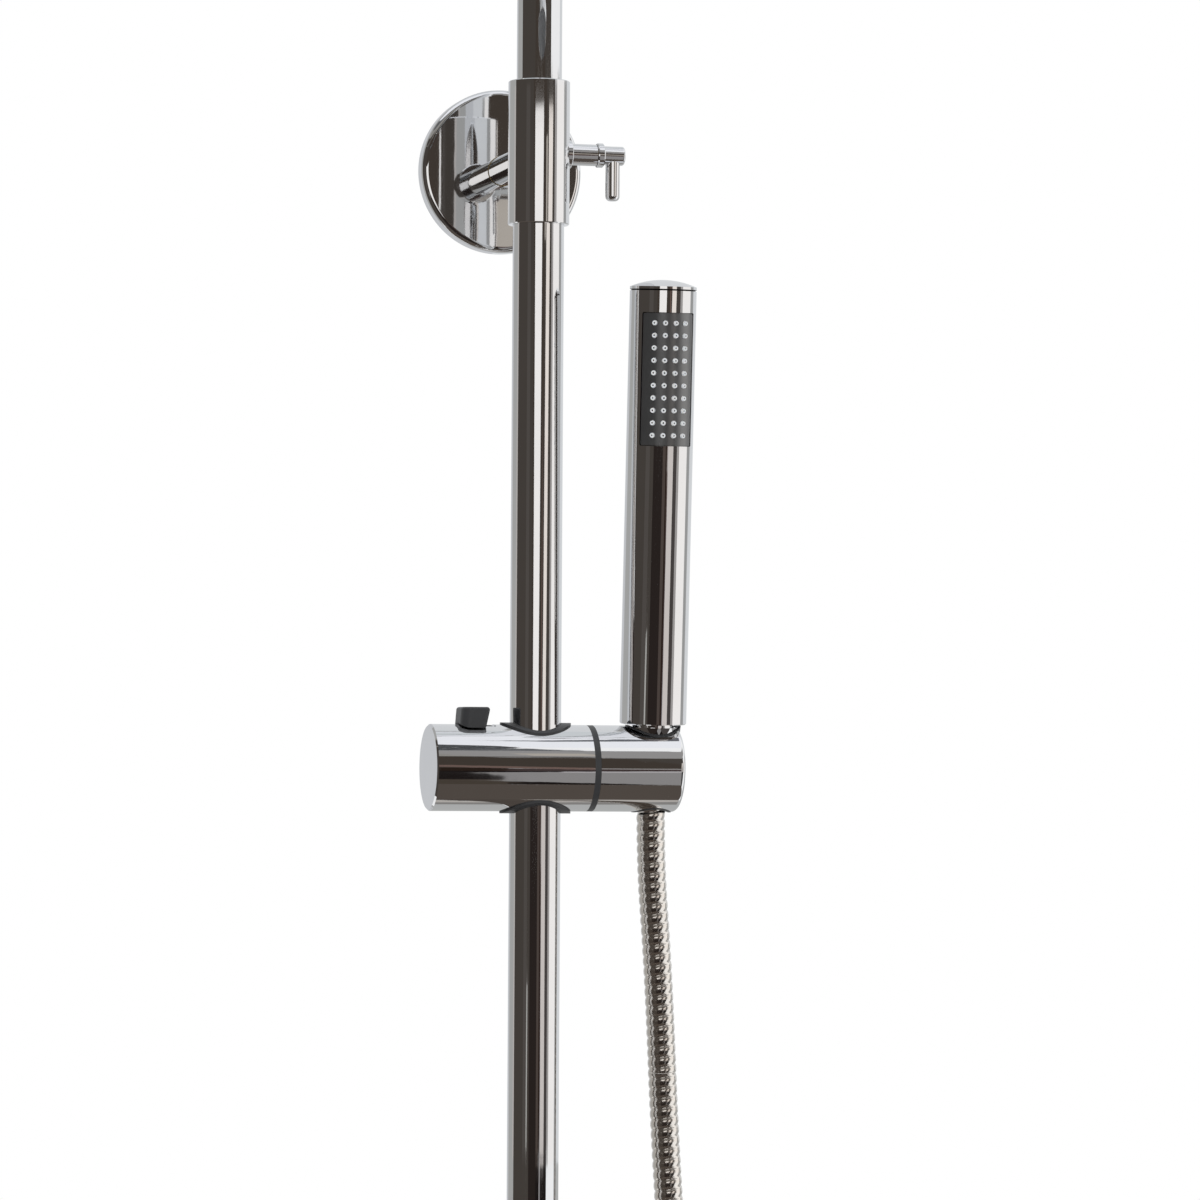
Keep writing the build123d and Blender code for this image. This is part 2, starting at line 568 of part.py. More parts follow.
# Swivel between slider and holder: washer, wave washer and bolt
washer = level(SLIDER_D - 2 * SLIP, SLIDER_RIGHT, HOLDER_START)
parts["swivel_washer"] = at_slider(washer - level(BOLT_D + 2 * FREE, SLIDER_RIGHT, HOLDER_START))
wave = level(BOLT_HEAD_D, CAVITY_END - WAVE_T, CAVITY_END)
parts["wave_washer"] = at_slider(wave - level(BOLT_D + 2 * FREE, CAVITY_END - WAVE_T, CAVITY_END))
bolt_seat = CAVITY_END - WAVE_T - SLIP
bolt = level(BOLT_HEAD_D, bolt_seat - BOLT_HEAD_T, bolt_seat)
bolt += level(BOLT_D, bolt_seat, HOLDER_START + BOLT_IN)
parts["swivel_bolt"] = at_slider(bolt)

# Holder: a round block with a tapered hole for the cone nut, and a plastic liner
NUT_SLOPE = (NUT_TOP_D - NUT_END_D) / 2 / (NUT_TOP + NUT_END)


def taper(extra, low, high):
    """The cone nut's taper, grown by some width, between two heights."""
    low_r = NUT_END_D / 2 + extra + (low + NUT_END) * NUT_SLOPE
    high_r = NUT_END_D / 2 + extra + (high + NUT_END) * NUT_SLOPE
    return turned([(0, low), (low_r, low), (high_r, high), (0, high)])


leaning = Rot(LEAN, 0, 0) * Pos(HOLE_RIGHT, 0, 0)
holder = level(SLIDER_D, HOLDER_START + SLIP, HOLDER_END)
holder = fillet(holder.edges().group_by(Axis.X)[-1], HOLDER_EDGE)
holder -= level(BOLT_D + 2 * SLIP, HOLDER_START, HOLDER_START + BOLT_IN)
holder -= leaning * taper(LINER_T + 2 * SLIP, -SLIDER_D, SLIDER_D)
parts["holder_body"] = at_slider(holder)

liner = taper(LINER_T + SLIP, -SLIDER_D, SLIDER_D) - taper(SLIP, -SLIDER_D, SLIDER_D)
skin = level(SLIDER_D + 2 * LINER_PROUD, 0, 2 * HOLDER_END)
parts["holder_liner"] = at_slider((leaning * liner) & skin)

# Cone nut that holds the hose on the handset, with its ferrule and seal
FERRULE_TOP = NUT_SHOULDER + FERRULE_FLANGE_T
TAIL_FOOT = FERRULE_TOP + SEAL_T
SLEEVE_D = HOSE_D - 2 * HOSE_WALL + 0.4
cone_nut = taper(0, -NUT_END, NUT_TOP)
flats = extrude(RegularPolygon(NUT_FLATS_AF / 2, NUT_FLATS, major_radius=False), NUT_TOP - NUT_FLATS_FROM)
cone_nut = (cone_nut & upright(2 * NUT_TOP_D, -NUT_END, NUT_FLATS_FROM)) + (
    cone_nut & Pos(0, 0, NUT_FLATS_FROM) * flats
)
cone_nut -= upright(HANDSET_THREAD_D + 2 * SLIP, NUT_SHOULDER, NUT_TOP)
cone_nut -= upright(SLEEVE_D + 4 * SLIP, -NUT_END, NUT_SHOULDER)
parts["hose_cone_nut"] = at_holder(cone_nut)


def ferrule(low, shoulder):
    """A sleeve from a low end to a shoulder, with a flange above it."""
    body = upright(SLEEVE_D, low, shoulder + FERRULE_FLANGE_T)
    body += upright(FERRULE_FLANGE_D, shoulder, shoulder + FERRULE_FLANGE_T)
    return body - upright(FERRULE_BORE, low, shoulder + FERRULE_FLANGE_T)


def seal_ring(low):
    return upright(FERRULE_FLANGE_D, low, low + SEAL_T) - upright(FERRULE_BORE, low, low + SEAL_T)


parts["upper_ferrule"] = at_holder(ferrule(-NUT_END, NUT_SHOULDER))
parts["upper_hose_seal"] = at_holder(seal_ring(FERRULE_TOP))


# Handset: a round stick with a curved opening for the spray panel
def sector(inner, outer, half_angle, low, high, corner=0.0):
    """A curved slab facing the front, between two radii, two angles and two heights."""
    def at(radius, degrees):
        return (radius * math.sin(math.radians(degrees)), -radius * math.cos(math.radians(degrees)))

    near = ThreePointArc(at(inner, -half_angle), at(inner, 0), at(inner, half_angle))
    far = ThreePointArc(at(outer, -half_angle), at(outer, 0), at(outer, half_angle))
    sides = [Line(at(inner, turn), at(outer, turn)) for turn in (-half_angle, half_angle)]
    slab = Pos(0, 0, low) * extrude(make_face([near, far, *sides]), high - low)
    if corner:
        radial = [e for e in slab.edges().filter_by(GeomType.LINE) if abs(e.tangent_at(0.5).Z) < 0.5]
        slab = fillet(radial, corner)
    return slab


HANDSET_BORE = HANDSET_R - HANDSET_WALL
shell = upright(HANDSET_D, HANDSET_START, HANDSET_TOP)
shell = chamfer(shell.edges().group_by(Axis.Z)[0], BODY_EDGE)
shell -= upright(2 * HANDSET_BORE, HANDSET_START + HANDSET_FLOOR, HANDSET_TOP)
shell += upright(HANDSET_THREAD_D, TAIL_FOOT, HANDSET_START)
shell -= upright(HANDSET_INLET_D, TAIL_FOOT, HANDSET_START + HANDSET_FLOOR)
shell -= sector(HANDSET_R / 2, HANDSET_D, PANEL_HALF_ANGLE, PANEL_LOW, PANEL_HIGH, PANEL_CORNER)
parts["handset_shell"] = at_holder(shell)

dome_r = (HANDSET_R**2 + HANDSET_CAP_DOME**2) / (2 * HANDSET_CAP_DOME)
DOME_FOOT = HANDSET_TOP + HANDSET_CAP_RIM
dome = Pos(0, 0, DOME_FOOT + HANDSET_CAP_DOME - dome_r) * Sphere(dome_r)
handset_cap = upright(HANDSET_D, HANDSET_TOP, DOME_FOOT + HANDSET_CAP_DOME) & dome
handset_cap += upright(2 * (HANDSET_BORE - SLIP), HANDSET_TOP - CAP_PLUG_L, HANDSET_TOP)
handset_cap -= upright(2 * (HANDSET_BORE - HANDSET_WALL), HANDSET_TOP - CAP_PLUG_L, HANDSET_TOP)
reveal = upright(2 * HANDSET_D, HANDSET_TOP, HANDSET_TOP + CAP_REVEAL)
handset_cap -= reveal - upright(HANDSET_D - 2 * CAP_REVEAL, HANDSET_TOP, HANDSET_TOP + CAP_REVEAL)
parts["handset_cap"] = at_holder(handset_cap)

# Spray panel in the opening, and the soft mat behind it whose nozzles come through
PANEL_R = HANDSET_R - PANEL_SUNK
flange_r = HANDSET_BORE - 2 * SLIP
flange_angle = PANEL_HALF_ANGLE + math.degrees(PANEL_FLANGE / flange_r)
gap_angle = math.degrees(PANEL_GAP / PANEL_R)
panel = sector(
    PANEL_R - PANEL_T,
    PANEL_R,
    PANEL_HALF_ANGLE - gap_angle,
    PANEL_LOW + PANEL_GAP,
    PANEL_HIGH - PANEL_GAP,
    PANEL_CORNER,
)
flange_low = PANEL_LOW - PANEL_FLANGE
flange_high = PANEL_HIGH + PANEL_FLANGE - SLIP
panel += sector(flange_r - PANEL_FLANGE_T, flange_r, flange_angle, flange_low, flange_high)

mat_r = flange_r - PANEL_FLANGE_T - SLIP
mat = sector(mat_r - MAT_T, mat_r, flange_angle, flange_low, flange_high)
nozzle_mid = (PANEL_LOW + PANEL_HIGH) / 2
tip_r = PANEL_R + NOZZLE_PROUD
nozzle = turned(
    [
        (NOZZLE_HOLE_D / 2, mat_r - MAT_T / 2),
        (NOZZLE_D / 2, mat_r - MAT_T / 2),
        (NOZZLE_D / 2, PANEL_R),
        (NOZZLE_TIP_D / 2, tip_r),
        (NOZZLE_HOLE_D / 2, tip_r),
    ]
)
drill = upright(NOZZLE_D + 2 * SLIP, 0, HANDSET_D)
nozzles = []
drills = []
for row in range(NOZZLE_ROWS):
    height = nozzle_mid + (row - (NOZZLE_ROWS - 1) / 2) * NOZZLE_ROW_STEP
    for column in range(NOZZLE_COLUMNS):
        turn = (column - (NOZZLE_COLUMNS - 1) / 2) * NOZZLE_ANGLE_STEP
        place = Pos(0, 0, height) * Rot(0, 0, turn) * Rot(90, 0, 0)
        nozzles.append(place * nozzle)
        drills.append(place * drill)
parts["spray_panel"] = at_holder(panel - drills)
parts["spray_mat"] = at_holder(mat + nozzles)

# Hose route from the cone nut down past the lower arm, round in a hanging loop and up to the outlet.
# Each point is its place right of the riser axis, towards the wall from it, and above the slider axis.
HOSE_EXIT_RUN = 28.0
lean = math.radians(LEAN)
hose_start = (HOLE_RIGHT, (NUT_END + SLIP) * math.sin(lean), -(NUT_END + SLIP) * math.cos(lean))
hose_below = (
    HOLE_RIGHT,
    hose_start[1] + HOSE_EXIT_RUN * math.sin(lean),
    hose_start[2] - HOSE_EXIT_RUN * math.cos(lean),
)
HOSE_HANG = [
    (64.3, 7.0, -100.0),
    (69.6, 11.0, -195.0),
    (81.0, 13.0, -330.0),
    (91.0, 10.0, -470.0),
    (96.0, 5.0, -580.0),
    (97.5, 1.0, -675.0),
    (96.0, -2.0, -767.3),
    (50.3, -3.0, -813.0),
    (-14.3, -3.0, -813.0),
    (-60.0, -2.0, -767.3),
    (-60.0, 0.0, -690.0),
    (-37.0, 1.0, -628.0),
]
outlet_run = 50.0
outlet = OUTLET_NUT_END - SLIP - SLIDER_Z
hose_points = [hose_start, hose_below, *HOSE_HANG, (0, 0, outlet - outlet_run), (0, 0, outlet)]
hose_middle = tuple((a + b) / 2 for a, b in zip(hose_points[2], hose_points[3]))


def hose_tube(points, name):
    """A tube along straight runs joined by arcs as large as the runs allow."""
    vectors = [Vector(*p) for p in points]
    radii = []
    for before, here, after in zip(vectors, vectors[1:], vectors[2:]):
        turn = (here - before).get_angle(after - here)
        shorter = min((here - before).length, (after - here).length)
        radii.append(0.45 * shorter / math.tan(math.radians(turn / 2)))
    path = FilletPolyline(*vectors, radius=radii)
    ring = Circle(HOSE_D / 2) - Circle(HOSE_D / 2 - HOSE_WALL)
    tube = sweep(Plane(origin=path @ 0, z_dir=path % 0) * ring, path=path)
    area = math.pi * HOSE_WALL * (HOSE_D - HOSE_WALL)
    print(name, "radii", [round(r) for r in radii], "length", round(path.length, 1))
    print(name, "volume", round(tube.volume), "expected", round(area * path.length))
    return tube


parts["upper_hose"] = at_slider(hose_tube([*hose_points[:3], hose_middle], "upper_hose"))
parts["lower_hose"] = at_slider(hose_tube([hose_middle, *hose_points[3:]], "lower_hose"))

# Outlet nut under the lower body, with the hose's lower ferrule and seal
outlet_seal = OUTLET_END - SEAL_T
outlet_shoulder = outlet_seal - FERRULE_FLANGE_T
outlet_nut = extrude(RegularPolygon(OUTLET_NUT_AF / 2, 6, major_radius=False), OUTLET_NUT_L)
outlet_nut = Pos(0, 0, OUTLET_NUT_END) * outlet_nut
outlet_nut -= upright(INLET_THREAD_D + 2 * SLIP, outlet_shoulder, OUTLET_NUT_TOP)
outlet_nut -= upright(SLEEVE_D + 4 * SLIP, OUTLET_NUT_END, outlet_shoulder)
parts["hose_outlet_nut"] = on_riser(outlet_nut)
parts["lower_ferrule"] = on_riser(ferrule(OUTLET_NUT_END, outlet_shoulder))
parts["lower_hose_seal"] = on_riser(seal_ring(outlet_seal))

os.makedirs("parts", exist_ok=True)
for name, shape in parts.items():
    export_step(shape, f"parts/{name}.step")
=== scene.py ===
"""Looks of a shower column: chromed riser, diverter, overhead bow and rain head, a sliding rest that
carries a slim stick handset, and its ribbed steel hose. All lengths are in metres, in the CAD frame."""

import math

import bpy
import numpy as np
from mathutils import Matrix, Vector


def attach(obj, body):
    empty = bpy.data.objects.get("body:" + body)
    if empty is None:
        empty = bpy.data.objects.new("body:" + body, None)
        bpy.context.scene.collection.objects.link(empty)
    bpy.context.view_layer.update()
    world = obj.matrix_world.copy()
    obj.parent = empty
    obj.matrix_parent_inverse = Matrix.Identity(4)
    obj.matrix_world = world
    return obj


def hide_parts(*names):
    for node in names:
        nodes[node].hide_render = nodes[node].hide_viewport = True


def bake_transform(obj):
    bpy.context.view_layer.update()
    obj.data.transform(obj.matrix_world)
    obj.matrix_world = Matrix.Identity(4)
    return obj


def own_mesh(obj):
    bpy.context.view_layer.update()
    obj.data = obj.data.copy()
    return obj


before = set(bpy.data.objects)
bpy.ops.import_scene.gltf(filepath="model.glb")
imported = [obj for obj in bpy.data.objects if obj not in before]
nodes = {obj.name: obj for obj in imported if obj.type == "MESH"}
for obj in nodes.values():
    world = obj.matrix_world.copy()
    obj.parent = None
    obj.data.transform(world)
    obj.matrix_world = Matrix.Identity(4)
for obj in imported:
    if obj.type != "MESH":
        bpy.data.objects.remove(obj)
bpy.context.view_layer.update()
scene = bpy.context.scene
scene.view_settings.view_transform = "Standard"


# The photographer's stand: level with the slider, two and a half metres out and a little to the left.
# The lens is long, so uprights stay parallel, and the picture is rolled by a third of a degree.
CROSSING = Vector((0.0, -0.088, -0.299))
VIEW_YAW = math.radians(13.5)
VIEW_DISTANCE = 2.5
VIEW_ROLL = math.radians(0.33)
SENSOR_MM = 36.0
LENS_MM = 154.6
AIM_RIGHT = 0.0310
AIM_UP = 0.0817

view_right = Vector((math.cos(VIEW_YAW), -math.sin(VIEW_YAW), 0.0))
view_back = Vector((-math.sin(VIEW_YAW), -math.cos(VIEW_YAW), 0.0))
view_aim = CROSSING + AIM_RIGHT * view_right + Vector((0.0, 0.0, AIM_UP))
camera_data = bpy.data.cameras.new("photo_camera")
camera_data.sensor_width = SENSOR_MM
camera_data.lens = LENS_MM
camera_data.clip_end = 60.0
camera = bpy.data.objects.new("photo_camera", camera_data)
camera.location = CROSSING + VIEW_DISTANCE * view_back
aimed = (view_aim - camera.location).to_track_quat("-Z", "Y").to_matrix()
camera.rotation_euler = (aimed @ Matrix.Rotation(VIEW_ROLL, 3, "Z")).to_euler()
scene.collection.objects.link(camera)
scene.camera = camera


# The studio is a pale floor under a white surround. The plain world lights the piece evenly, and metal
# sees the same white surround as the camera does. Node trees are wired by one small class.
class Wire:
    """One socket of a node tree, on which + - * add Math nodes and node() adds any other kind."""

    def __init__(self, tree, socket=None):
        self.tree = tree
        self.socket = socket

    def node(self, kind, settings=None, sockets=None, out=0):
        """A node of that kind with its settings put first and then its values or links, as a wire."""
        made = self.tree.nodes.new(kind)
        for name, value in (settings or {}).items():
            setattr(made, name, value)
        for name, value in (sockets or {}).items():
            if isinstance(value, Wire):
                self.tree.links.new(value.socket, made.inputs[name])
            else:
                made.inputs[name].default_value = value
        return Wire(self.tree, made.outputs[out] if len(made.outputs) else None)

    def maths(self, operation, first, second):
        """The Math node of that operation on two values or wires."""
        return self.node("ShaderNodeMath", {"operation": operation}, {0: first, 1: second})

    def __add__(self, other):
        return self.maths("ADD", self, other)

    __radd__ = __add__

    def __mul__(self, other):
        return self.maths("MULTIPLY", self, other)

    __rmul__ = __mul__

    def __sub__(self, other):
        return self.maths("SUBTRACT", self, other)

    def mix(self, first, second):
        """The colour that goes from first to second as this value goes from 0 to 1."""
        return self.node("ShaderNodeMix", {"data_type": "RGBA"}, {0: self, 6: first, 7: second}, out=2)


SURROUND_WHITE = (1.0, 1.0, 1.0, 1.0)
FILL_LEVEL = (0.72, 0.73, 0.75, 1.0)

world = bpy.data.worlds.new("studio")
scene.world = world
world.use_nodes = True
world.node_tree.nodes.clear()
surround = Wire(world.node_tree)
seen = [surround.node("ShaderNodeLightPath", out=kind)
        for kind in ("Is Camera Ray", "Is Glossy Ray", "Is Transmission Ray")]
directly = surround.maths("MAXIMUM", surround.maths("MAXIMUM", seen[0], seen[1]), seen[2])
glow = surround.node("ShaderNodeBackground", None, {"Color": directly.mix(FILL_LEVEL, SURROUND_WHITE)})
surround.node("ShaderNodeOutputWorld", None, {"Surface": glow})

FLOOR_Z = -1.135
FLOOR_HALF = 3.4
FLOOR_LINES = 19


def put_mesh(name, points, faces):
    """A smooth mesh object at the origin from arrays of points and of faces with three or four corners."""
    mesh = bpy.data.meshes.new(name)
    mesh.from_pydata(points.tolist(), [], faces)
    mesh.polygons.foreach_set("use_smooth", np.full(len(mesh.polygons), True))
    mesh.update()
    made = bpy.data.objects.new(name, mesh)
    scene.collection.objects.link(made)
    return made


def grid_faces(rows, columns, wrap=False):
    """Quads between the neighbours of a grid of points, joined round from last column to first if wrapped."""
    index = np.arange(rows * columns).reshape(rows, columns)
    if wrap:
        index = np.hstack([index, index[:, :1]])
    corners = [index[:-1, :-1], index[:-1, 1:], index[1:, 1:], index[1:, :-1]]
    return np.stack([corner.ravel() for corner in corners], axis=1).tolist()


floor_line = np.linspace(-FLOOR_HALF, FLOOR_HALF, FLOOR_LINES)
floor_x, floor_y = np.meshgrid(floor_line, floor_line)
floor_points = np.stack([floor_x.ravel(), floor_y.ravel(), np.full(floor_x.size, FLOOR_Z)], axis=1)
floor = put_mesh("studio_floor", floor_points, grid_faces(FLOOR_LINES, FLOOR_LINES))
floor_finish = bpy.data.materials.new("pale_floor")
floor_finish.use_nodes = True
floor_look = floor_finish.node_tree.nodes["Principled BSDF"]
floor_look.inputs["Base Color"].default_value = (0.86, 0.86, 0.86, 1.0)
floor_look.inputs["Roughness"].default_value = 0.9
floor.data.materials.append(floor_finish)
floor.visible_glossy = False


# Cards of one plain tone each hang round the piece, as a studio hangs them to give chrome its edges. Their
# tones and edges were set by measuring the photograph's reflections. They are seen only in reflections:
# they throw no light and no shadow, no camera sees them, and none is brighter than the white surround.
CARD_DISTANCE = 3.0
CARD_COLUMNS = 25
CARD_ROWS = 13


def finish_of(name):
    """A new material with an empty tree, and the wire that starts its nodes."""
    made = bpy.data.materials.new(name)
    made.use_nodes = True
    made.node_tree.nodes.clear()
    return made, Wire(made.node_tree)


def card(name, corners, colour, distance=CARD_DISTANCE):
    """A patch of a sphere about the slider. Its corners are pairs of degrees, right of the camera and up:
    lower left, lower right, upper right and upper left, and the patch is even between them."""
    across, up = np.meshgrid(np.linspace(0.0, 1.0, CARD_COLUMNS), np.linspace(0.0, 1.0, CARD_ROWS))
    low_left, low_right, high_right, high_left = (np.radians(corner) for corner in corners)
    across, up = across[..., None], up[..., None]
    angles = (1 - up) * ((1 - across) * low_left + across * low_right)
    angles = angles + up * ((1 - across) * high_left + across * high_right)
    turn, rise = angles[..., 0] - VIEW_YAW, angles[..., 1]
    out = np.stack([np.cos(rise) * np.sin(turn), -np.cos(rise) * np.cos(turn), np.sin(rise)], axis=-1)
    points = np.array(CROSSING) + distance * out.reshape(-1, 3)
    made = put_mesh(name, points, grid_faces(CARD_ROWS, CARD_COLUMNS))
    finish, tree = finish_of(name)
    lit = tree.node("ShaderNodeEmission", None, {"Color": (*colour, 1.0)})
    tree.node("ShaderNodeOutputMaterial", None, {"Surface": lit})
    made.data.materials.append(finish)
    made.visible_camera = False
    made.visible_diffuse = False
    made.visible_shadow = False
    made.visible_transmission = False


def upright_card(name, turns, rises, colour, distance=CARD_DISTANCE):
    """A card between two turns and two rises, with upright sides."""
    (left, right), (low, high) = turns, rises
    card(name, ((left, low), (right, low), (right, high), (left, high)), colour, distance)


NEARER = 2.9
NEAREST = 2.8
ROSE_CARD_DISTANCE = 0.6
WARM_DARK = (0.064, 0.055, 0.048)
SOOT = (0.024, 0.018, 0.016)
GLARE = (1.0, 0.97, 0.945)

# To the left: a grey wall, then a long warm dark cloth with a lit fold low in it.
upright_card("card_left_back", (-178.0, -140.0), (-36.0, 60.0), (0.60, 0.61, 0.63))
upright_card("card_left_side", (-140.0, -97.0), (-36.0, 60.0), (0.42, 0.42, 0.41))
upright_card("card_left_edge", (-105.0, -97.0), (-8.0, 14.0), (0.52, 0.49, 0.47), NEARER)
upright_card("card_left", (-97.0, -20.0), (-42.5, 38.0), WARM_DARK)
upright_card("card_left_fold", (-48.0, -33.0), (-8.0, 14.0), (0.086, 0.076, 0.069), NEARER)
upright_card("card_left_line", (-33.0, -28.0), (-7.8, -4.4), (0.44, 0.43, 0.41), NEARER)

# Ahead: a tall window between dark cloths, soot black below its sill.
upright_card("card_sill", (-20.0, 12.0), (-42.5, -0.3), SOOT)
upright_card("card_over_window", (-20.0, 30.0), (-0.3, 29.3), (0.056, 0.045, 0.037))
window = ((-11.5, -0.3), (11.8, -0.3), (18.5, 13.6), (-13.5, 13.6))
card("card_window", window, GLARE, NEARER)
upright_card("card_low_brown", (12.0, 22.0), (-8.0, -0.3), (0.082, 0.063, 0.055))
upright_card("card_low_right", (12.0, 62.0), (-42.5, -8.0), (0.013, 0.010, 0.0095))
low_edge = ((20.0, -43.0), (31.0, -43.0), (28.4, -30.2), (20.0, -30.2))
card("card_low_edge", low_edge, (0.066, 0.053, 0.042), NEARER)

# To the right: a bright post and its dark side, a wide white wall and a grey one behind it.
post = ((30.5, -0.3), (45.0, -0.3), (54.5, 13.6), (38.0, 13.6))
upright_card("card_right_dark", (30.0, 62.0), (-0.3, 26.0), (0.066, 0.057, 0.050))
card("card_post", post, (0.90, 0.83, 0.77), NEARER)
upright_card("card_post_foot", (30.0, 48.5), (-8.0, -0.3), (0.66, 0.61, 0.58))
upright_card("card_post_side", (22.0, 30.0), (-8.0, -0.3), (0.38, 0.36, 0.35))
upright_card("card_foot_dark", (48.5, 62.0), (-8.0, -0.3), (0.068, 0.060, 0.057))
upright_card("card_wall_edge", (62.0, 71.0), (-8.0, 14.0), (0.38, 0.36, 0.35))
upright_card("card_wall", (71.0, 108.0), (-8.0, 14.0), GLARE)
upright_card("card_right_far", (108.0, 126.0), (-36.0, 14.0), (0.36, 0.36, 0.355))
upright_card("card_right_back", (126.0, 182.0), (-8.0, 62.0), (0.73, 0.745, 0.76))

# Bands that only the slider shows: a dull line on its middle, and a soft tongue of light below that.
upright_card("card_middle", (26.3, 30.0), (-8.0, -2.0), (0.058, 0.042, 0.041), NEARER)
upright_card("card_middle_dark", (22.0, 26.3), (-8.0, -0.3), (0.024, 0.015, 0.011), NEARER)
middle_line = ((24.0, 3.4), (28.0, -3.9), (28.0, 1.2), (24.0, 8.4))
card("card_middle_line", middle_line, (0.165, 0.111, 0.096), NEAREST)
tongue = ((28.6, -34.0), (36.0, -43.0), (31.0, -5.4), (25.9, -12.0))
card("card_tongue", tongue, (0.275, 0.265, 0.262), NEARER)
tongue_edge = ((27.6, -11.5), (31.0, -9.5), (31.0, -5.4), (27.6, -8.8))
card("card_tongue_edge", tongue_edge, (0.44, 0.42, 0.425), NEAREST)

# Below, a brown floor, paler behind. Above, a grey band with a dark line over it, and a white ceiling.
upright_card("card_floor", (-125.0, 112.0), (-90.0, -42.5), (0.091, 0.075, 0.064))
upright_card("card_floor_edge", (112.0, 235.0), (-80.0, -71.0), (0.48, 0.45, 0.42))
upright_card("card_back_line", (112.0, 235.0), (-71.0, -63.0), (0.26, 0.25, 0.24))
upright_card("card_back_low", (126.0, 225.0), (-63.0, -8.0), (0.47, 0.475, 0.47))
upright_card("card_above", (-97.0, 27.4), (29.3, 44.8), (0.295, 0.285, 0.265))
upright_card("card_above_right", (27.4, 89.0), (26.0, 43.5), (0.32, 0.31, 0.305))
upright_card("card_above_step", (27.4, 36.2), (43.5, 44.8), (0.30, 0.30, 0.30))
upright_card("card_above_line", (-97.0, 34.3), (44.8, 53.6), (0.13, 0.13, 0.135))
upright_card("card_ceiling", (-97.0, 120.0), (53.6, 90.0), (0.94, 0.95, 0.99))
upright_card("card_back_ceiling", (120.0, 263.0), (62.0, 90.0), (0.66, 0.69, 0.71))
rafter = ((56.0, 69.5), (118.0, 74.0), (118.0, 76.8), (56.0, 71.8))
card("card_rafter", rafter, (0.15, 0.155, 0.17), NEARER)
upright_card("card_rose_side", (27.9, 33.0), (30.8, 37.2), (0.46, 0.42, 0.375), ROSE_CARD_DISTANCE)


# Roses, arms, riser, diverter body and lower body: turned and drawn brass, polished and chrome plated.
# The roses push over the arms to the wall, and grub screws hold the arms in the two bodies.
CHROME_TINT = (0.83, 0.835, 0.845)


def noise(tree, place, scale, detail=3.0, rough=0.5):
    """Cloudy noise from 0 to 1 at so many cells per metre of object space."""
    return tree.node("ShaderNodeTexNoise", None,
                     {"Vector": place, "Scale": scale, "Detail": detail, "Roughness": rough})


def ramp(wire, low, high, low_value=0.0, high_value=1.0):
    """A value carried smoothly from low_value to high_value as the wire goes from low to high."""
    return wire.node("ShaderNodeMapRange", {"interpolation_type": "SMOOTHSTEP"},
                     {"Value": wire, "From Min": low, "From Max": high,
                      "To Min": low_value, "To Max": high_value})


def surface(tree, made, look, bump=None, strength=0.1, depth=0.0001):
    """The Principled shader of a finish, with its values, and a bump on its normal where one is given."""
    if bump is not None:
        look["Normal"] = tree.node("ShaderNodeBump", None,
                                   {"Height": bump, "Strength": strength, "Distance": depth})
    shader = tree.node("ShaderNodeBsdfPrincipled", None, look)
    tree.node("ShaderNodeOutputMaterial", None, {"Surface": shader})
    return made


def chrome_plate(name, tint=CHROME_TINT, gloss=0.035, ripple=0.05, seam=None):
    """Polished chrome: a bright metal with faint water marks, wiping smears and a slight ripple of plating.
    A seam, given as an axis and two heights along it, is drawn as a dull near-black band: painted shade
    standing in for the shadow in the seam's groove."""
    made, tree = finish_of(name)
    place = tree.node("ShaderNodeTexCoord", out="Object")
    smears = noise(tree, place, 24.0, 4.0, 0.6)
    spots = tree.node("ShaderNodeTexVoronoi", {"feature": "SMOOTH_F1"}, {"Vector": place, "Scale": 210.0})
    dried = ramp(spots, 0.12, 0.26, 1.0, 0.0) * ramp(noise(tree, place, 9.0), 0.55, 0.75)
    tone = ramp(smears, 0.3, 0.75)
    colour = tone.mix((*tint, 1.0), (*(0.965 * value for value in tint), 1.0))
    rough = gloss + 0.02 * ramp(smears, 0.45, 0.8) + 0.05 * dried
    if seam is not None:
        axis, low, high = seam
        height = tree.node("ShaderNodeVectorMath", {"operation": "DOT_PRODUCT"}, {0: place, 1: tuple(axis)},
                           out="Value")
        # Painted shade: between the seam's two heights the chrome is made near-black and duller, standing in
        # for the groove's shadow.
        painted_seam_shade = ramp(height, low - 0.0001, low) * ramp(height, high, high + 0.0001, 1.0, 0.0)
        colour = painted_seam_shade.mix(colour, (0.012, 0.011, 0.011, 1.0))
        rough = rough + 0.4 * painted_seam_shade
    look = {"Base Color": colour, "Metallic": 1.0, "Roughness": rough}
    return surface(tree, made, look, noise(tree, place, 70.0, 1.0), ripple, 0.0004)


def dress(finish, *names):
    """Gives CAD nodes a finish in place of the plain one that they came with."""
    for name in names:
        nodes[name].data.materials.clear()
        nodes[name].data.materials.append(finish)


brass_chrome = chrome_plate("polished_chrome")
dress(brass_chrome, "upper_rose", "lower_rose", "inlet_arm", "lower_arm", "diverter_body", "lower_body",
      "riser_tube")


# The diverter's gland, hub and lever: turned brass, chrome plated. The lever rod is screwed into the
# hub, which a grub screw holds on the spindle.
dress(brass_chrome, "spindle_gland", "diverter_lever")


# The overhead pipe is one bent tube with a ball connector at its end, and the rain head hangs on the
# ball by its nut. The pan is pressed and plated, its face is moulded and carries soft nubs.
dress(brass_chrome, "overhead_pipe", "head_connector", "head_nut")
pan_chrome = chrome_plate("pan_chrome", ripple=0.03)
dress(pan_chrome, "rain_pan")


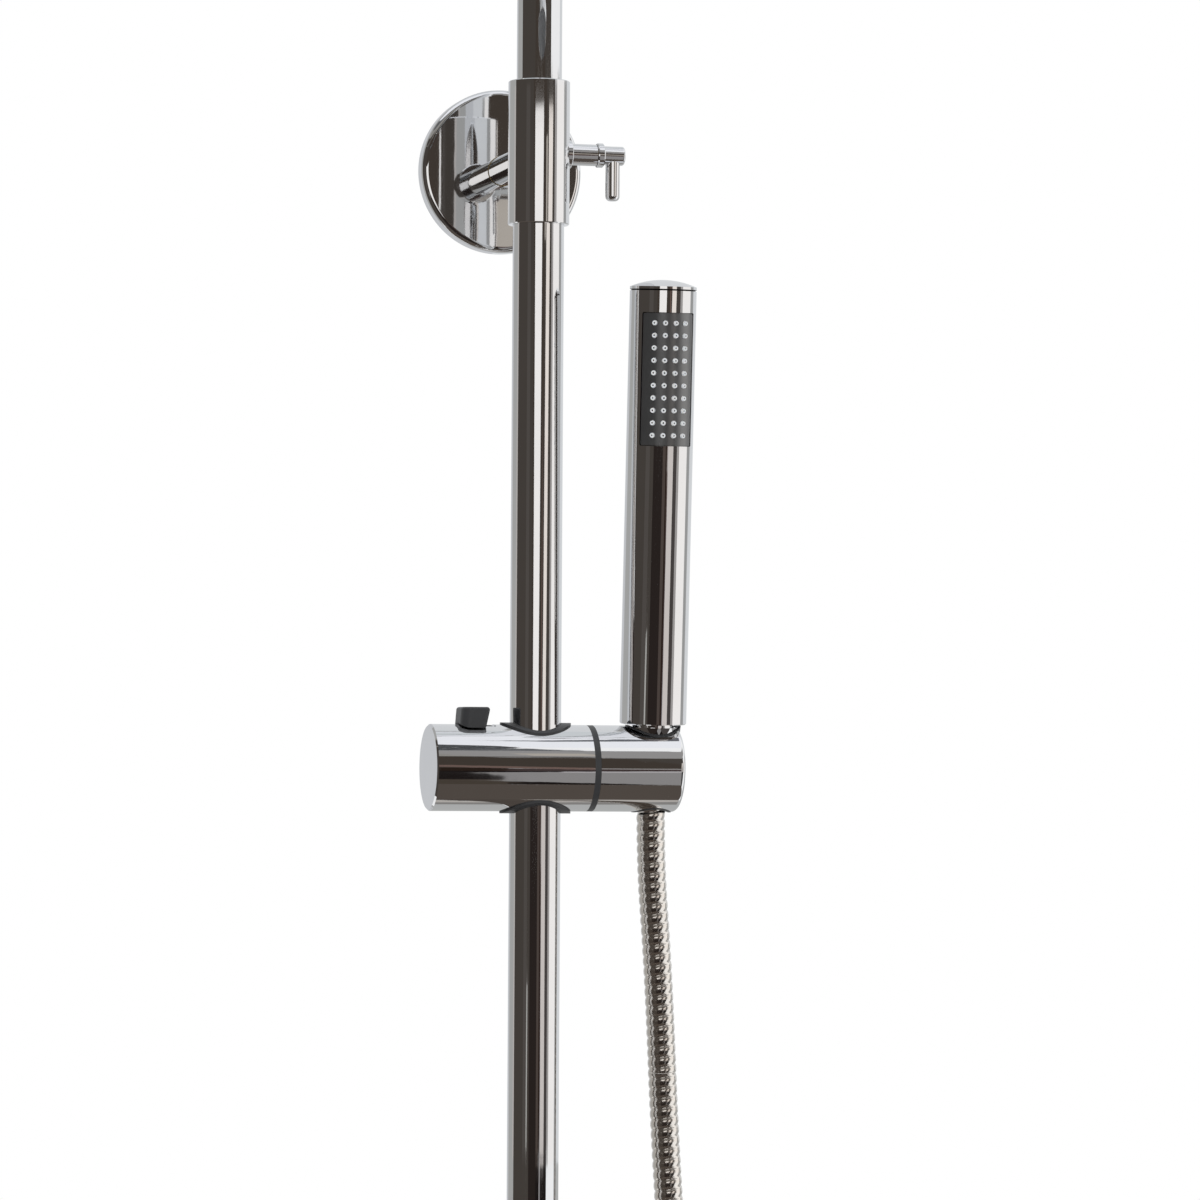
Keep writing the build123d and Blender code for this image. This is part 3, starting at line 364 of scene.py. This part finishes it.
def moulded(name, colour, rough, grain=1500.0, depth=0.00006, strength=0.25, coat=0.0):
    """Satin moulded plastic: fine spark-eroded grain, with a little change of tone and of gloss, and a
    clear skin over it where the moulding is polished."""
    made, tree = finish_of(name)
    place = tree.node("ShaderNodeTexCoord", out="Object")
    cloud = noise(tree, place, 35.0, 3.0)
    fine = noise(tree, place, grain, 2.0)
    tone = ramp(cloud, 0.25, 0.75)
    base = tone.mix((*(0.9 * value for value in colour), 1.0), (*(1.1 * value for value in colour), 1.0))
    look = {"Base Color": base, "Roughness": rough + 0.08 * (fine - 0.5) + 0.06 * (cloud - 0.5),
            "Coat Weight": coat, "Coat Roughness": 0.32, "Coat IOR": 2.2}
    return surface(tree, made, look, fine, strength, depth)


face_grey = moulded("face_grey", (0.11, 0.115, 0.12), 0.42)
dress(face_grey, "rain_face")


def silicone(name, colour, rough=0.5):
    """Soft pale silicone with a dusty bloom, a little light passing under its skin."""
    made, tree = finish_of(name)
    place = tree.node("ShaderNodeTexCoord", out="Object")
    bloom = noise(tree, place, 420.0, 3.0)
    base = ramp(bloom, 0.3, 0.7).mix((*(0.9 * value for value in colour), 1.0), (*colour, 1.0))
    look = {"Base Color": base, "Roughness": rough + 0.12 * (bloom - 0.5), "Subsurface Weight": 0.12,
            "Subsurface Radius": (0.0006, 0.0005, 0.0004)}
    return surface(tree, made, look, bloom, 0.15, 0.00005)


nub_silicone = silicone("nub_silicone", (0.55, 0.56, 0.56))
dress(nub_silicone, "rain_nozzles")


# The slider is a moulded sleeve, chrome plated, across the riser. Two black saddle bushes line its bore,
# a black lever frees the brake shoe inside, and a cap closes its left end.
plated_chrome = chrome_plate("plated_chrome", ripple=0.08)
dress(plated_chrome, "slider_body", "slider_end_cap")
satin_black = moulded("satin_black", (0.040, 0.041, 0.043), 0.40)
dress(satin_black, "upper_bush", "lower_bush", "lock_lever", "brake_shoe", "swivel_washer", "holder_liner")


# The holder turns on the slider's end and grips the handset: a plated stick with a dark spray panel let
# into its front, through which soft nozzles stand in ten rows of four, and a domed cap.
dress(plated_chrome, "holder_body", "handset_shell")
LEAN = math.radians(4.2)
HOLE_RIGHT = 0.0585
CAP_SEAM = (0.2325, 0.2333)
cap_axis = Vector((0.0, -math.sin(LEAN), math.cos(LEAN)))
cap_foot = (CROSSING + Vector((HOLE_RIGHT, 0.0, 0.0))).dot(cap_axis)
# The cap's seam is painted shade: a thin near-black, duller band on the chrome where the groove's shadow
# falls.
cap_chrome = chrome_plate("cap_chrome", ripple=0.08,
                          seam=(cap_axis, cap_foot + CAP_SEAM[0], cap_foot + CAP_SEAM[1]))
dress(cap_chrome, "handset_cap")
panel_grey = moulded("panel_grey", (0.034, 0.036, 0.038), 0.30, strength=0.6, coat=1.0)
dress(panel_grey, "spray_panel")
jet_silicone = silicone("jet_silicone", (0.90, 0.91, 0.91), 0.16)
dress(jet_silicone, "spray_mat")


# The hose is an interlocked strip of polished stainless steel wound round a rubber tube, one rib for
# each turn of the strip. Cone nut and outlet nut are turned brass, chrome plated.
dress(brass_chrome, "hose_cone_nut", "hose_outlet_nut")
HOSE_D = 0.014
RIB_PITCH = 0.005
RIB_DEPTH = 0.0008
HOSE_ROUTE = [
    (HOLE_RIGHT, 0.01405 * math.sin(LEAN), -0.01405 * math.cos(LEAN)),
    (HOLE_RIGHT, 0.04205 * math.sin(LEAN), -0.04205 * math.cos(LEAN)),
    (0.0643, 0.0070, -0.1000), (0.0696, 0.0110, -0.1950), (0.0810, 0.0130, -0.3300),
    (0.0910, 0.0100, -0.4700), (0.0960, 0.0050, -0.5800), (0.0975, 0.0010, -0.6750),
    (0.0960, -0.0020, -0.7673), (0.0503, -0.0030, -0.8130), (-0.0143, -0.0030, -0.8130),
    (-0.0600, -0.0020, -0.7673), (-0.0600, 0.0, -0.6900), (-0.0370, 0.0010, -0.6280),
    (0.0, 0.0, -0.54005), (0.0, 0.0, -0.49005),
]

route_data = bpy.data.curves.new("hose_route", "CURVE")
route_data.dimensions = "3D"
route_data.resolution_u = 40
spline = route_data.splines.new("NURBS")
spline.points.add(len(HOSE_ROUTE) - 1)
for point, place in zip(spline.points, HOSE_ROUTE):
    point.co = (*(CROSSING + Vector(place)), 1.0)
spline.order_u = 3
spline.use_endpoint_u = True
route_object = bpy.data.objects.new("hose_route", route_data)
scene.collection.objects.link(route_object)
route_mesh = bpy.data.meshes.new_from_object(route_object)
route_line = np.zeros(len(route_mesh.vertices) * 3)
route_mesh.vertices.foreach_get("co", route_line)
route_line = route_line.reshape(-1, 3)
bpy.data.objects.remove(route_object)
bpy.data.curves.remove(route_data)
bpy.data.meshes.remove(route_mesh)

SAME_POINT = 1e-7
steps = np.linalg.norm(np.diff(route_line, axis=0), axis=1)
route_line = route_line[np.concatenate([[True], steps > SAME_POINT])]
run = np.concatenate([[0.0], np.cumsum(np.linalg.norm(np.diff(route_line, axis=0), axis=1))])
RINGS_PER_RIB = 10
ROUND = 36
ring_count = int(round(run[-1] / RIB_PITCH * RINGS_PER_RIB))
ring_run = np.linspace(0.0, run[-1], ring_count + 1)
centres = np.stack([np.interp(ring_run, run, route_line[:, axis]) for axis in range(3)], axis=1)


def closed_tube(name, line, ring):
    """A tube through rings of points, one for each point of its line, with a fan closing each end."""
    sections, sides = ring.shape[:2]
    faces = grid_faces(sections, sides, wrap=True)
    turn = np.arange(sides)
    following = (turn + 1) % sides
    last = (sections - 1) * sides
    hub = sections * sides
    faces += np.stack([np.full(sides, hub), following, turn], axis=1).tolist()
    faces += np.stack([np.full(sides, hub + 1), last + turn, last + following], axis=1).tolist()
    return put_mesh(name, np.concatenate([ring.reshape(-1, 3), line[:1], line[-1:]]), faces)


def ribbed_tube(line, along, name):
    """A tube round a line: its radius falls in a narrow groove once a pitch, and the groove climbs one
    pitch for each turn round the line, as the edge of a wound strip does."""
    forward = np.gradient(line, axis=0)
    forward /= np.linalg.norm(forward, axis=1, keepdims=True)
    side = np.cross(forward, (0.0, 1.0, 0.0))
    side /= np.linalg.norm(side, axis=1, keepdims=True)
    front = np.cross(side, forward)
    angle = np.linspace(0.0, 2.0 * math.pi, ROUND, endpoint=False)
    phase = along[:, None] / RIB_PITCH + angle[None, :] / (2.0 * math.pi)
    from_crest = np.abs(2.0 * (phase - np.floor(phase)) - 1.0)
    radius = HOSE_D / 2 - RIB_DEPTH * (0.6 * from_crest ** 2 + 0.4 * from_crest ** 6)
    ring = (line[:, None, :] + (radius * np.cos(angle))[..., None] * side[:, None, :]
            + (radius * np.sin(angle))[..., None] * front[:, None, :])
    return closed_tube(name, line, ring)


SPLIT_BELOW = 0.1475
SPLIT_Z = CROSSING.z - SPLIT_BELOW
split = int(np.argmax(centres[:, 2] < SPLIT_Z))
lowest = int(np.argmin(centres[:, 2]))
upper_line = centres[:split + 1]
lower_line = centres[split:lowest + 1]
tail_line = centres[lowest:]
upper_ribbed = ribbed_tube(upper_line, ring_run[:split + 1], "upper_ribbed_hose")
lower_ribbed = ribbed_tube(lower_line, ring_run[split:lowest + 1], "lower_ribbed_hose")
tail_ribbed = ribbed_tube(tail_line, ring_run[lowest:], "tail_ribbed_hose")
strip_steel = chrome_plate("strip_steel", (0.85, 0.81, 0.76), 0.17, 0.03)
for length_of_hose in (upper_ribbed, lower_ribbed, tail_ribbed):
    length_of_hose.data.materials.append(strip_steel)
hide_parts("upper_hose")
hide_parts("lower_hose")
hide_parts("lower_hose")
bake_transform(upper_ribbed)
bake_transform(lower_ribbed)
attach(tail_ribbed, "hose")


# What the plating hides: brass inlet and spindle, steel screws, pin and washers, rubber seals.
# They show only through small gaps, or when the part is taken apart.
def plain_metal(name, tint, rough):
    """Turned metal as it comes off the lathe: a fine grain of tool marks under a cloudy tone."""
    made, tree = finish_of(name)
    place = tree.node("ShaderNodeTexCoord", out="Object")
    cloud = noise(tree, place, 60.0, 4.0)
    tone = ramp(cloud, 0.3, 0.7).mix((*(0.85 * value for value in tint), 1.0), (*tint, 1.0))
    look = {"Base Color": tone, "Metallic": 1.0, "Roughness": rough + 0.15 * (cloud - 0.5)}
    return surface(tree, made, look, noise(tree, place, 1200.0, 2.0), 0.2, 0.00004)


dress(plain_metal("turned_brass", (0.72, 0.55, 0.28), 0.3), "wall_fitting", "diverter_spindle")
plain_steel = plain_metal("plain_steel", (0.60, 0.60, 0.61), 0.32)
dress(plain_steel, "lower_wall_plate", "wall_grub_screws",
      "arm_grub_screws", "lever_grub_screw", "lever_pin", "wave_washer", "swivel_bolt", "upper_ferrule",
      "lower_ferrule")
dress(moulded("seal_rubber", (0.03, 0.03, 0.03), 0.6), "riser_seals", "overhead_pipe_seal",
      "upper_hose_seal", "lower_hose_seal")


# The brake's coil spring lies along the slider, between the end cap's guide and the shoe's collar. It is
# wound of steel wire, and pressing the lever shortens it by the shoe's one millimetre of travel.
SPRING_FROM = -0.0434
SPRING_LENGTH = 0.0097
SPRING_RADIUS = 0.0042
SPRING_TURNS = 3.5
SPRING_WIRE = 0.001


def coil(name, sections=140, sides=10):
    """A round wire along a helix: turning at an even rate about an axis while going along it, with its
    section square to the helix."""
    part = np.linspace(0.0, 1.0, sections)
    turn = 2.0 * math.pi * SPRING_TURNS * part
    outward = np.stack([np.zeros(sections), np.cos(turn), np.sin(turn)], axis=1)
    line = SPRING_RADIUS * outward + np.outer(SPRING_FROM + SPRING_LENGTH * part, (1.0, 0.0, 0.0))
    forward = np.gradient(line, axis=0)
    forward /= np.linalg.norm(forward, axis=1, keepdims=True)
    across = np.cross(forward, outward)
    angle = np.linspace(0.0, 2.0 * math.pi, sides, endpoint=False)
    ring = (line[:, None, :] + SPRING_WIRE / 2 * (np.cos(angle)[None, :, None] * outward[:, None, :]
                                                  + np.sin(angle)[None, :, None] * across[:, None, :]))
    return closed_tube(name, np.array(CROSSING) + line, np.array(CROSSING) + ring)


brake_coil = coil("brake_coil")
brake_coil.data.materials.append(plain_steel)
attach(brake_coil, "slider")
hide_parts("brake_spring")
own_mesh(brake_coil)


# One soft box lights the satin plastics from the upper left, in front, as the photographer's does.
soft_box = bpy.data.lights.new("soft_box", "AREA")
soft_box.shape = "RECTANGLE"
soft_box.size = 1.6
soft_box.size_y = 1.2
soft_box.energy = 22.0
lamp = bpy.data.objects.new("soft_box", soft_box)
lamp.location = (-1.2, -2.2, 1.4)
lamp.rotation_euler = (CROSSING - lamp.location).to_track_quat("-Z", "Y").to_euler()
lamp.visible_glossy = False
scene.collection.objects.link(lamp)
